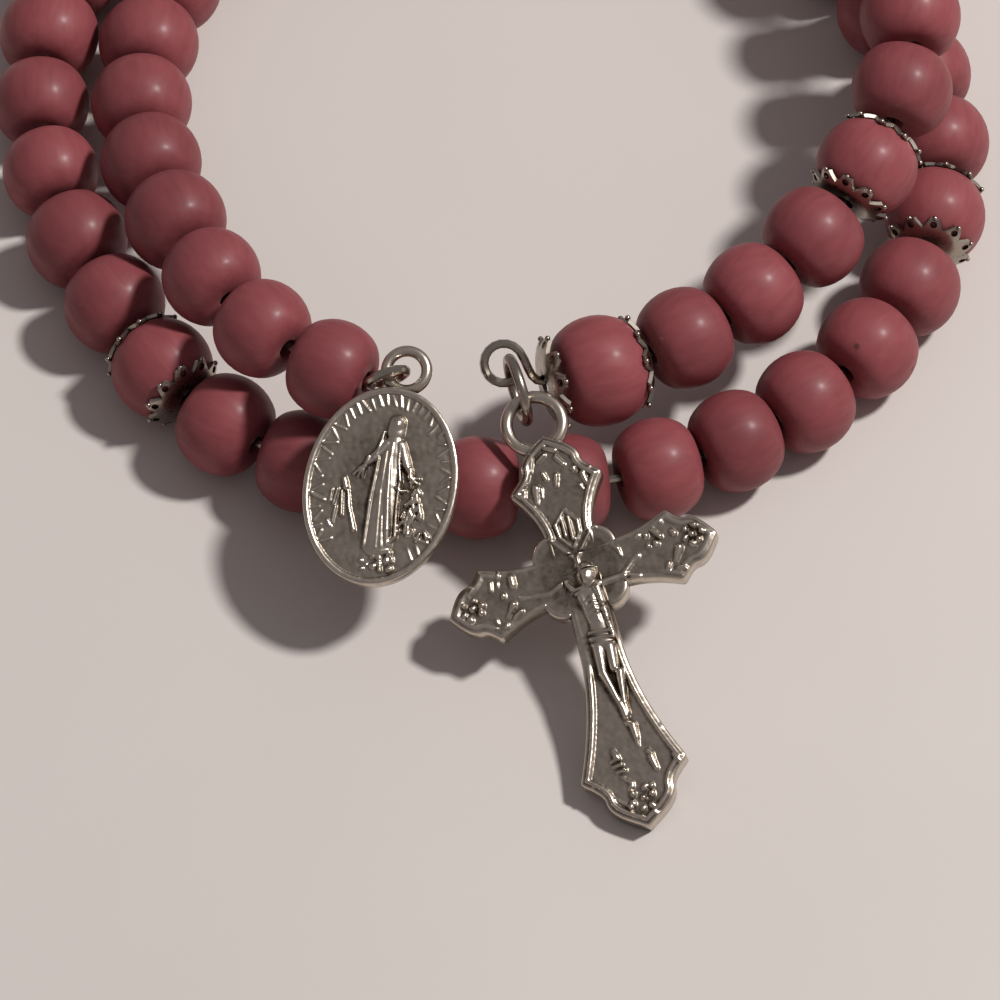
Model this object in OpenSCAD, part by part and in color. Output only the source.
// A beaded bracelet: wooden beads on a coil of spring wire that goes round nearly twice.
// A cast crucifix hangs from one end on a jump ring, and a cast oval medal from the other.
// It lies on a flat surface at z = 0, with the crucifix towards the front. Millimetres.

/* [Beads] */
// Diameter of a bead
bead_d = 7.9; // [7.6:0.1:8]
// Length of a bead along the wire
bead_l = 6.1; // [5.9:0.1:6.1]
// Radius of the soft shoulder between a bead's side and its flat end
shoulder_r = 2; // [1.6:0.1:2.2]
// Diameter of the hole drilled through a bead
bore_d = 1.5; // [1.4:0.05:1.7]
// Distance between the middles of two plain beads along the wire
bead_pitch = 6.8; // [6.8:0.01:6.82]

/* [Bead caps] */
// Number of petals round a cap
cap_petals = 10; // [8:1:12]
// Thickness of the cap's sheet metal
cap_t = 0.25; // [0.22:0.01:0.25]
// Gap between a cap and its bead
cap_gap = 0.11; // [0.1:0.01:0.12]
// Diameter of the pierced hole in each petal
cap_hole_d = 0.56; // [0.4:0.02:0.6]
// Diameter of the grain at each petal's tip
cap_grain_d = 0.4; // [0.3:0.02:0.42]

/* [Wire] */
// Diameter of the spring wire
wire_d = 0.7; // [0.6:0.05:0.8]
// Outer diameter of the loop turned at each end of the wire
end_loop_d = 3.7; // [3.6:0.1:3.8]
// Outer diameter of the jump ring
jump_ring_d = 5.7; // [5.6:0.1:5.9]
// Diameter of the jump ring's wire
jump_wire_d = 0.8; // [0.7:0.05:0.85]

/* [Crucifix] */
// Width across the arms
cross_w = 20.8; // [19:0.1:22]
// Thickness of the plate
cross_t = 1.7; // [1.3:0.05:1.8]
// Width of the raised rim
cross_rim_w = 0.38; // [0.3:0.02:0.5]
// Height of the raised rim above the plate
cross_rim_h = 0.3; // [0.2:0.05:0.4]
// Outer diameter of the eye at the top
cross_eye_d = 5.2; // [5:0.1:5.4]
// Thickness of the eye's round section
cross_eye_t = 0.95; // [0.8:0.05:1]

/* [Medal] */
// Width of the oval
medal_w = 11.5; // [11:0.1:11.7]
// Height of the oval, without the eye
medal_h = 15.3; // [14.5:0.1:15.5]
// Thickness of the plate
medal_t = 1.1; // [0.9:0.05:1.2]
// Width of the raised rim
medal_rim_w = 0.45; // [0.35:0.05:0.6]
// Height of the raised rim above the plate
medal_rim_h = 0.25; // [0.2:0.05:0.3]
// Outer diameter of the eye at the top
medal_eye_d = 3.9; // [3.8:0.1:4]
// Thickness of the eye's round section
medal_eye_t = 0.85; // [0.75:0.05:0.9]

/* [Hidden] */

WOOD = "#8f4a4a";
METAL = "#8d8678";
WIRE = "#9a958c";

bead_r = bead_d / 2;
bore_r = bore_d / 2;
wire_r = wire_d / 2;

// The coil's axis, so that the whole piece is centred over the origin
coil_at = [-0.09, 9.72];

// The coil in stations 30 degrees apart, counted round from the crucifix end.
// The angle starts from +x and grows anticlockwise seen from above.
station_step = 30;
first_station = -90;
RADIUS = 0;
LIFT = 1;
// Columns: radius of the wire, and its lift above a run of beads that lies on the surface
coil = [
    [28.3, 5.1],
    [27.2, 4.1],
    [28.2, 5.0],
    [32.0, 8.3],
    [34.3, 9.1],
    [36.2, 8.3],
    [38.8, 6.6],
    [39.3, 3.0],
    [36.9, 0.1],
    [35.1, 0],
    [33.6, 0],
    [34.9, 0],
    [34.0, 0],
    [34.8, 0],
    [35.7, 0],
    [35.2, 0],
    [33.4, 0],
    [34.9, 0],
    [34.4, 0],
    [31.4, 0],
    [28.8, 0],
    [27.2, 2.1],
    [27.3, 4.6],
    [30.0, 6.7],
    [32.3, 7.7]
];

bead_count = 59;
// The beads that have a cap at each end, counted from the crucifix end
marker_numbers = [0, 4, 15, 26, 37, 48];
// The last bead of the upper string
upper_last = 24;
first_bead_angle = -70.7;
// Turned beads vary a little. Columns: number, size against the others
odd_sizes = [
    [0, 1.08],
    [22, 0.96],
    [23, 0.95],
    [56, 0.97],
    [57, 0.96],
    [58, 0.96]
];
// Beads that have slid along the wire. Columns: number, distance
slides = [
    [1, 0.15],
    [32, 0.25],
    [34, -0.25]
];
// The cap at the very end of the string has slid off its bead by this much
end_cap_slide = 0.7;

// Poses of the two castings. The place is that of the middle of the plate from the coil's axis.
// A casting lies flat with its top towards +y, then leans sideways, tips up and turns.
TIP = 0;
LEAN = 1;
TURN = 2;
cross_at = [8.1, -43.2, 6.4];
cross_pose = [15.6, -13.3, 17];
medal_at = [-7.1, -38.35, 9.9];
medal_pose = [21, -1, -10];

// The middle of the loop at the crucifix end, and its pose in the same way
cross_loop_at = [1.76, -26.53, 9.82];
cross_loop_pose = [34, 0, 0];
// Where on the medal's eye the other loop goes round it
medal_loop_on_eye = 210;

jump_ring_at = [2.9, -28.87, 9.69];
jump_ring_pose = [0, 85.9, 19];

// A value between the stations, on a smooth curve through them
function catmull_rom(a, b, c, d, t) =
    b + 0.5 * t * (c - a + t * (2 * a - 5 * b + 4 * c - d + t * (3 * (b - c) + d - a)));

function station_value(angle, column) =
    let (place = (angle - first_station) / station_step)
    let (i = max(1, min(len(coil) - 3, floor(place))))
    catmull_rom(coil[i - 1][column], coil[i][column], coil[i + 1][column],
        coil[i + 2][column], place - i);

function coil_point(angle) =
    let (r = station_value(angle, RADIUS))
    let (lift = max(0, station_value(angle, LIFT)))
    [coil_at.x + r * cos(angle), coil_at.y + r * sin(angle), bead_r + lift];

function unit(v) = v / norm(v);

function coil_direction(angle) = unit(coil_point(angle + 0.5) - coil_point(angle - 0.5));

// The length of wire between the first bead and each small step of the coil
length_step = 3;
step_angles = [for (a = first_bead_angle; a <= 612; a = a + length_step) a];
step_points = [for (a = step_angles) coil_point(a)];
angle_at_length = [
    for (i = 0, s = 0; i < len(step_angles);
        s = s + norm(step_points[min(i + 1, len(step_points) - 1)] - step_points[i]), i = i + 1)
        [s, step_angles[i]]
];

function is_marker(i) = len([for (m = marker_numbers) if (m == i) m]) > 0;

// Where each bead sits along the wire: a cap takes its own thickness and gap as well
cap_room = cap_t + cap_gap;
function room_after(i) = bead_pitch + cap_room * ((is_marker(i) ? 1 : 0) + (is_marker(i + 1) ? 1 : 0));
bead_lengths = [for (i = 0, s = 0; i < bead_count; s = s + room_after(i), i = i + 1) s];

// The second column of a table's row for bead i, or a value that most beads have
function from_table(table, i, usual) =
    let (found = [for (row = table) if (row[0] == i) row[1]])
    len(found) > 0 ? found[0] : usual;

bead_angles = [
    for (i = [0 : bead_count - 1])
        lookup(bead_lengths[i] + from_table(slides, i, 0), angle_at_length)
];
bead_sizes = [for (i = [0 : bead_count - 1]) from_table(odd_sizes, i, 1)];

// Carries a shape made along z onto the wire at bead i
module on_bead(i) {
    d = coil_direction(bead_angles[i]);
    translate(coil_point(bead_angles[i]))
        rotate([0, acos(d.z), atan2(d.y, d.x)])
            children();
}

// Half of a bead's profile: a sphere's side, a soft shoulder and a flat end.
// facing is the angle that the surface faces, from 0 at the side to 90 at the end.
shoulder_y = bead_l / 2 - shoulder_r;
shoulder_x = sqrt(pow(bead_r - shoulder_r, 2) - pow(shoulder_y, 2));
shoulder_from = atan2(shoulder_y, shoulder_x);
function profile_point(facing, out) =
    abs(facing) <= shoulder_from
        ? (bead_r + out) * [cos(facing), sin(facing)]
        : [shoulder_x, sign(facing) * shoulder_y] + (shoulder_r + out) * [cos(facing), sin(facing)];

profile_step = 10;
module bead_solid(size) {
    side = [for (facing = [-90 : profile_step : 90]) size * profile_point(facing, 0)];
    end = size * bead_l / 2;
    rotate_extrude($fn = 40)
        polygon(concat([[bore_r, -end]], side, [[bore_r, end]]));
}

// A cap is a thin star cup over the bead's end, pointed petals with a grain at each tip
cap_tip_facing = 44;
cap_hole_facing = 57;
cap_tip_out = cap_gap + cap_grain_d / 2 + 0.02;
cap_notch_r = 2.62;
cap_tip_r = 3.3;
module cap_solid() {
    facings = concat([cap_tip_facing], [for (f = [50 : profile_step : 90]) f]);
    inner = [for (f = facings) profile_point(f, cap_gap)];
    outer = [for (i = [len(facings) - 1 : -1 : 0]) profile_point(facings[i], cap_gap + cap_t)];
    end_low = bead_l / 2 + cap_gap;
    tip = profile_point(cap_tip_facing, cap_tip_out);
    difference() {
        intersection() {
            rotate_extrude($fn = 40)
                polygon(concat(inner, [[bore_r, end_low], [bore_r, end_low + cap_t]], outer));
            linear_extrude(height = bead_l)
                cap_star();
        }
        for (k = [0 : cap_petals - 1])
            rotate([0, 0, 360 * k / cap_petals])
                translate([shoulder_x, 0, shoulder_y])
                    rotate([0, 90 - cap_hole_facing, 0])
                        cylinder(d = cap_hole_d, h = 2 * shoulder_r, $fn = 14);
    }
    for (k = [0 : cap_petals - 1])
        rotate([0, 0, 360 * k / cap_petals])
            translate([tip.x, 0, tip.y])
                sphere(d = cap_grain_d, $fn = 14);
}

// The cap's outline seen along the wire: a petal's tip, then the notch beside it
module cap_star() {
    polygon([
        for (k = [0 : cap_petals - 1])
            for (edge = [[-0.18, cap_tip_r], [0.18, cap_tip_r], [0.5, cap_notch_r]])
                let (a = 360 * (k + edge[0]) / cap_petals)
                edge[1] * [cos(a), sin(a)]
    ]);
}

module plain_beads(first, last) {
    color(WOOD)
        for (i = [first : last])
            if (!is_marker(i))
                on_bead(i) bead_solid(bead_sizes[i]);
}

module marker_bead(n) {
    color(WOOD)
        on_bead(marker_numbers[n]) bead_solid(bead_sizes[marker_numbers[n]]);
}

// side is 1 for the end that faces along the coil, and -1 for the other
module bead_cap(n, side) {
    color(METAL)
        on_bead(marker_numbers[n])
            rotate([side > 0 ? 0 : 180, 0, 37 * n])
                translate([0, 0, side < 0 && n == 0 ? end_cap_slide : 0])
                    scale(bead_sizes[marker_numbers[n]])
                        cap_solid();
}

// The wire: an end loop, a short neck, the coil, a neck and the other end loop
neck_from_bead = 4.3;
wire_step = 5;
loop_mean_r = (end_loop_d - wire_d) / 2;
loop_step = 20;

function turn_x(v, a) = [v.x, v.y * cos(a) - v.z * sin(a), v.y * sin(a) + v.z * cos(a)];
function turn_y(v, a) = [v.x * cos(a) + v.z * sin(a), v.y, v.z * cos(a) - v.x * sin(a)];
function turn_z(v, a) = [v.x * cos(a) - v.y * sin(a), v.x * sin(a) + v.y * cos(a), v.z];
function posed(v, pose) = turn_z(turn_x(turn_y(v, pose[LEAN]), pose[TIP]), pose[TURN]);
function from_axis(p) = [coil_at.x + p.x, coil_at.y + p.y, p.z];

// Draws the children in a pose, with their middle at a place counted from the coil's axis
module pose_at(at, pose) {
    translate(from_axis(at))
        rotate([0, 0, pose[TURN]])
            rotate([pose[TIP], 0, 0])
                rotate([0, pose[LEAN], 0])
                    children();
}

// A loop is a circle given by its middle and two directions in its plane
function loop_point(loop, angle) =
    loop[0] + loop_mean_r * (cos(angle) * loop[1] + sin(angle) * loop[2]);
function loop_direction(loop, angle) = cos(angle) * loop[2] - sin(angle) * loop[1];

cross_eye = [-0.4, 10.7 + cross_eye_d / 2 - 0.95, 0];
cross_loop = [
    from_axis(cross_loop_at),
    posed([1, 0, 0], cross_loop_pose),
    posed([0, 1, 0], cross_loop_pose)
];
medal_eye = [0.1, medal_h / 2 + medal_eye_d / 2 - 0.4, 0];
medal_loop_out = [cos(medal_loop_on_eye), sin(medal_loop_on_eye), 0];
medal_loop = [
    from_axis(medal_at) + posed(medal_eye + (medal_eye_d - medal_eye_t) / 2 * medal_loop_out, medal_pose),
    posed(-medal_loop_out, medal_pose),
    posed([0, 0, 1], medal_pose)
];

function bezier(a, b, c, d, t) =
    pow(1 - t, 3) * a + 3 * t * pow(1 - t, 2) * b + 3 * t * t * (1 - t) * c + pow(t, 3) * d;

// A neck that leaves the point a along the direction da and reaches b along db
function neck(a, da, b, db, reach) =
    [for (t = [0.2, 0.4, 0.6, 0.8]) bezier(a, a + reach * da, b - reach * db, b, t)];

wire_start_angle = first_bead_angle - neck_from_bead / station_value(first_bead_angle, RADIUS) * 180 / PI;
last_angle = bead_angles[bead_count - 1];
wire_end_angle = last_angle + (neck_from_bead - 0.8) / station_value(last_angle, RADIUS) * 180 / PI;

// Each loop from the neck round to its tip
cross_loop_from = 38;
cross_loop_to = 302;
medal_loop_from = -90;
medal_loop_to = 210;

wire_path = concat(
    [for (a = [cross_loop_to : -loop_step : cross_loop_from + 1]) loop_point(cross_loop, a)],
    [loop_point(cross_loop, cross_loop_from)],
    neck(
        loop_point(cross_loop, cross_loop_from), -loop_direction(cross_loop, cross_loop_from),
        coil_point(wire_start_angle), coil_direction(wire_start_angle), 1.2
    ),
    [for (a = [wire_start_angle : wire_step : wire_end_angle - 1]) coil_point(a)],
    [coil_point(wire_end_angle)],
    neck(
        coil_point(wire_end_angle), coil_direction(wire_end_angle),
        loop_point(medal_loop, medal_loop_from), loop_direction(medal_loop, medal_loop_from), 0.8
    ),
    [for (a = [medal_loop_from : loop_step : medal_loop_to]) loop_point(medal_loop, a)]
);

// A round tube swept along a path, its rings carried on from one to the next without twist
wire_sides = 8;
function path_direction(path, i) =
    unit(path[min(i + 1, len(path) - 1)] - path[max(i - 1, 0)]);
function across(v, d) = unit(v - (v * d) * d);
module tube(path, radius) {
    last = len(path) - 1;
    normals = [
        for (i = 0, n = across([0, 0.3, 1], path_direction(path, 0)); i <= last;
            i = i + 1, n = i <= last ? across(n, path_direction(path, i)) : n) n
    ];
    rings = [
        for (i = [0 : last])
            let (n = normals[i], b = cross(path_direction(path, i), n))
            for (k = [0 : wire_sides - 1])
                path[i] + radius * (cos(360 * k / wire_sides) * n + sin(360 * k / wire_sides) * b)
    ];
    sides = [
        for (i = [0 : last - 1])
            for (k = [0 : wire_sides - 1])
                let (j = (k + 1) % wire_sides, low = i * wire_sides, high = low + wire_sides)
                [low + k, high + k, high + j, low + j]
    ];
    ends = [
        [for (k = [0 : wire_sides - 1]) k],
        [for (k = [wire_sides - 1 : -1 : 0]) last * wire_sides + k]
    ];
    polyhedron(points = rings, faces = concat(sides, ends), convexity = 10);
}

module memory_wire() {
    color(WIRE)
        tube(wire_path, wire_r);
}

module ring(outer_d, section_d) {
    rotate_extrude($fn = 40)
        translate([(outer_d - section_d) / 2, 0])
            circle(d = section_d, $fn = 16);
}

module jump_ring() {
    color(METAL)
        pose_at(jump_ring_at, jump_ring_pose)
            ring(jump_ring_d, jump_wire_d);
}

// A raised bar with round ends
module bar(a, b, ra, rb, sides = 7) {
    hull() {
        translate(a) sphere(ra, $fn = sides);
        translate(b) sphere(rb, $fn = sides);
    }
}

// One arm of the cross sits a little low
left_limb_turn = 184.5;
// The four limbs of the cross, seen from the crossing outwards.
// Columns: direction, tip, corner along and half width, waist along and half width
limbs = [
    [0, cross_w / 2, 7.3, 2.55, 3.2, 1.5],
    [90, 10.7, 7.1, 3.3, 3.1, 1.6],
    [left_limb_turn, 10.1, 7.1, 2.6, 3.2, 1.5],
    [270, 20.3, 16, 3.9, 6.2, 1.35]
];
lobe_at = 1.6;
lobe_r = 1.4;

// Half width of a limb between its waist and its corner, widening faster as it goes out
function flare(limb, t) = [
    limb[4] + (limb[2] - limb[4]) * t,
    limb[5] + (limb[3] - limb[5]) * pow(t, 1.8)
];
// From the corner in to the foot of the middle lobe, and round the lobe to the tip
function end_curve(limb, t) =
    let (out = limb[1] - limb[2], root = 0.62 * limb[3])
    t < 0.5
        ? [limb[2] + out * 0.9 * t, limb[3] - (limb[3] - root) * sin(180 * t)]
        : [limb[2] + out * (0.45 + 1.1 * (t - 0.5)), root * cos(180 * (t - 0.5))];

module limb_outline(limb) {
    side = concat(
        [[0, limb[5]]],
        [for (t = [0 : 0.2 : 1]) flare(limb, t)],
        [for (t = [0.1 : 0.1 : 1]) end_curve(limb, t)]
    );
    rotate(limb[0])
        polygon(concat(side, [for (i = [len(side) - 2 : -1 : 0]) [side[i].x, -side[i].y]]));
}

module cross_outline() {
    for (limb = limbs)
        limb_outline(limb);
    for (a = [45 : 90 : 315])
        rotate(a)
            translate([lobe_at * sqrt(2), 0])
                circle(lobe_r, $fn = 24);
}

// A flower of round grains near a limb's end
module flower(at) {
    translate(at) {
        for (k = [0 : 5])
            translate([0.72 * cos(60 * k), 0.72 * sin(60 * k), 0])
                sphere(0.3, $fn = 7);
        sphere(0.32, $fn = 7);
    }
}

// The raised figure, head at the crossing and feet down the lower limb.
// Columns: start, end, radius at each, height of the axis above the plate at each
figure_parts = [
    [[0.33, 0.15], [0.4, -0.55], 0.56, 0.42, 0.3, 0.26],
    [[0.38, -0.7], [0.4, -1.3], 0.3, 0.36, 0.15, 0.1],
    [[-0.5, -1.3], [-2.4, -1], 0.34, 0.27, 0.12, 0.15],
    [[-2.4, -1], [-4.6, -0.72], 0.27, 0.2, 0.15, 0.14],
    [[1.35, -1.2], [2.8, -0.7], 0.34, 0.27, 0.12, 0.15],
    [[2.8, -0.7], [4.6, 0.25], 0.27, 0.2, 0.15, 0.14],
    [[0.1, -1.9], [0.35, -4.2], 0.55, 0.45, 0.1, 0.08],
    [[0.9, -1.9], [1.05, -4.2], 0.55, 0.45, 0.1, 0.08],
    [[0.4, -4.9], [0.3, -6], 0.5, 0.5, 0.15, 0.14],
    [[1.1, -4.9], [1.1, -6], 0.5, 0.5, 0.15, 0.14],
    [[0.25, -6.2], [0.05, -8.2], 0.42, 0.36, 0.2, 0.36],
    [[0.95, -6.3], [1.05, -8.2], 0.42, 0.36, 0.2, 0.36],
    [[0.05, -8.2], [0.4, -10.8], 0.36, 0.26, 0.36, 0.26],
    [[1.05, -8.2], [0.7, -10.8], 0.36, 0.26, 0.36, 0.24],
    [[0.5, -10.9], [0.55, -11.7], 0.32, 0.28, 0.22, 0.12]
];
flowers = [[-8.5, -0.6], [8.85, 0.35], [0.15, -18.2]];
// Leaves, buds and the scroll under the feet. Columns: start, end, radius at each
leaf_parts = [
    [[-1.2, 9.7], [-1.6, 8.5], 0.24, 0.18],
    [[0.5, 9.1], [0.95, 8.4], 0.22, 0.2],
    [[0.2, 7.7], [0, 6.9], 0.26, 0.2],
    [[-1.55, 7.1], [-1.75, 6], 0.36, 0.22],
    [[2.15, 7.3], [2.3, 6.2], 0.3, 0.2],
    [[-0.85, 3.9], [-0.75, 2.9], 0.24, 0.2],
    [[0.85, 3.9], [0.8, 3], 0.24, 0.2],
    [[0.22, 4.4], [0.2, 2.6], 0.2, 0.22],
    [[2.8, 1.35], [3.25, 0.5], 0.18, 0.22],
    [[6.05, 1.5], [6.5, 0.85], 0.22, 0.24],
    [[7.65, -0.4], [7.15, -1.3], 0.36, 0.22],
    [[-5.1, 0.95], [-5.1, 0.35], 0.3, 0.3],
    [[-6.1, -1.95], [-5.45, -1.1], 0.2, 0.3],
    [[0.5, -12.2], [1.1, -13.5], 0.26, 0.26],
    [[1.5, -15.1], [1.7, -16.3], 0.32, 0.22],
    [[3.2, -15.6], [3.4, -16.1], 0.24, 0.26],
    [[-1, -14.1], [-1.1, -15.3], 0.26, 0.36],
    [[-1.1, -15.3], [-0.4, -16.8], 0.36, 0.2]
];

module cross_figure() {
    for (p = figure_parts)
        bar([p[0].x, p[0].y, p[4]], [p[1].x, p[1].y, p[5]], p[2], p[3]);
    // Nose and brow of the plain face
    bar([0.34, 0.2, 0.72], [0.36, -0.25, 0.62], 0.12, 0.16, 6);
}

module crucifix() {
    face = cross_t / 2;
    color(METAL)
        pose_at(cross_at, cross_pose) {
            difference() {
                translate([0, 0, -face])
                    linear_extrude(height = cross_t + cross_rim_h)
                        cross_outline();
                translate([0, 0, face])
                    linear_extrude(height = 1)
                        offset(delta = -cross_rim_w)
                            cross_outline();
            }
            translate([0, 0, face]) {
                cross_figure();
                for (at = flowers)
                    flower(at);
                for (p = leaf_parts)
                    bar([p[0].x, p[0].y, 0], [p[1].x, p[1].y, 0], p[2], p[3]);
            }
            translate(cross_eye)
                ring(cross_eye_d, cross_eye_t);
        }
}

module medal_oval(inset) {
    scale([(medal_w - 2 * inset) / (medal_h - 2 * inset), 1])
        circle(d = medal_h - 2 * inset, $fn = 60);
}

// The robed figure, in the same columns as the crucifix's figure
robe_parts = [
    [[0.42, 5], [0.42, 4.5], 0.5, 0.42, 0.14, 0.12],
    [[-0.1, 3.2], [-1.3, 1.5], 0.42, 0.34, 0.05, 0.05],
    [[0.95, 3.3], [2.05, 1.4], 0.42, 0.34, 0.05, 0.05],
    [[-1.3, 1.5], [-2.1, 0.6], 0.28, 0.18, 0.1, 0.08],
    [[2.05, 1.4], [2.45, 0.7], 0.28, 0.2, 0.1, 0.08],
    [[0.4, 3.4], [0.6, -4.3], 0.75, 1.15, -0.2, -0.6],
    [[-0.5, 3.2], [-0.4, -4.6], 0.26, 0.24, 0.2, 0.18],
    [[0.1, 2.6], [0.3, -4.7], 0.2, 0.22, 0.34, 0.3],
    [[0.62, 0.9], [1.15, -4.3], 0.24, 0.3, 0.42, 0.3],
    [[1.2, 3], [1.75, -3.6], 0.24, 0.26, 0.25, 0.2],
    [[0.5, -5.6], [1.9, -5.5], 0.5, 0.5, -0.2, -0.2]
];
ray_spread = 16;
rays = 4;
ray_length = 2.6;
border_strokes = 28;
stroke_gap_bottom = 40;
stroke_in = 1.1;
stroke_length = 0.85;

module medal() {
    face = medal_t / 2;
    color(METAL)
        pose_at(medal_at, medal_pose) {
            difference() {
                translate([0, 0, -face])
                    linear_extrude(height = medal_t + medal_rim_h)
                        medal_oval(0);
                translate([0, 0, face])
                    linear_extrude(height = 1)
                        medal_oval(medal_rim_w);
            }
            // The relief is cut off inside the plate, so that nothing shows on the back
            intersection() {
                translate([0, 0, face])
                    medal_relief();
                translate([-medal_w / 2, -medal_h / 2, 0])
                    cube([medal_w, medal_h, 3]);
            }
            translate(medal_eye)
                ring(medal_eye_d, medal_eye_t);
        }
}

module medal_relief() {
    for (p = robe_parts)
        bar([p[0].x, p[0].y, p[4]], [p[1].x, p[1].y, p[5]], p[2], p[3]);
    bar([0.42, 5, 0.56], [0.42, 4.65, 0.5], 0.1, 0.13, 6);
    medal_rays();
    medal_border();
}

module medal_rays() {
    for (s = [-1, 1])
        for (k = [0 : rays - 1]) {
            lean = s * ray_spread * (k - 0.6);
            hand = [s * 2.5, 0.1, 0];
            bar(
                hand + 0.5 * [sin(lean), -cos(lean), 0],
                hand + ray_length * [sin(lean), -cos(lean), 0],
                0.12, 0.18, 6
            );
        }
}

// Plain strokes round the edge, with a gap at the bottom
module medal_border() {
    for (k = [0 : border_strokes - 1]) {
        a = -90 + stroke_gap_bottom + (360 - 2 * stroke_gap_bottom) * (k + 0.5) / border_strokes;
        translate([(medal_w / 2 - stroke_in) * cos(a), (medal_h / 2 - stroke_in) * sin(a), 0])
            rotate([0, 0, a])
                cube([stroke_length, 0.25, 0.36], center = true);
    }
}

memory_wire();
plain_beads(0, upper_last);  // plain_beads_upper
plain_beads(upper_last + 1, bead_count - 1);  // plain_beads_lower
marker_bead(0);  // marker_bead_1
marker_bead(1);  // marker_bead_2
marker_bead(2);  // marker_bead_3
marker_bead(3);  // marker_bead_4
marker_bead(4);  // marker_bead_5
marker_bead(5);  // marker_bead_6
bead_cap(0, -1);  // bead_cap_1a
bead_cap(0, 1);  // bead_cap_1b
bead_cap(1, -1);  // bead_cap_2a
bead_cap(1, 1);  // bead_cap_2b
bead_cap(2, -1);  // bead_cap_3a
bead_cap(2, 1);  // bead_cap_3b
bead_cap(3, -1);  // bead_cap_4a
bead_cap(3, 1);  // bead_cap_4b
bead_cap(4, -1);  // bead_cap_5a
bead_cap(4, 1);  // bead_cap_5b
bead_cap(5, -1);  // bead_cap_6a
bead_cap(5, 1);  // bead_cap_6b
jump_ring();
crucifix();
medal();
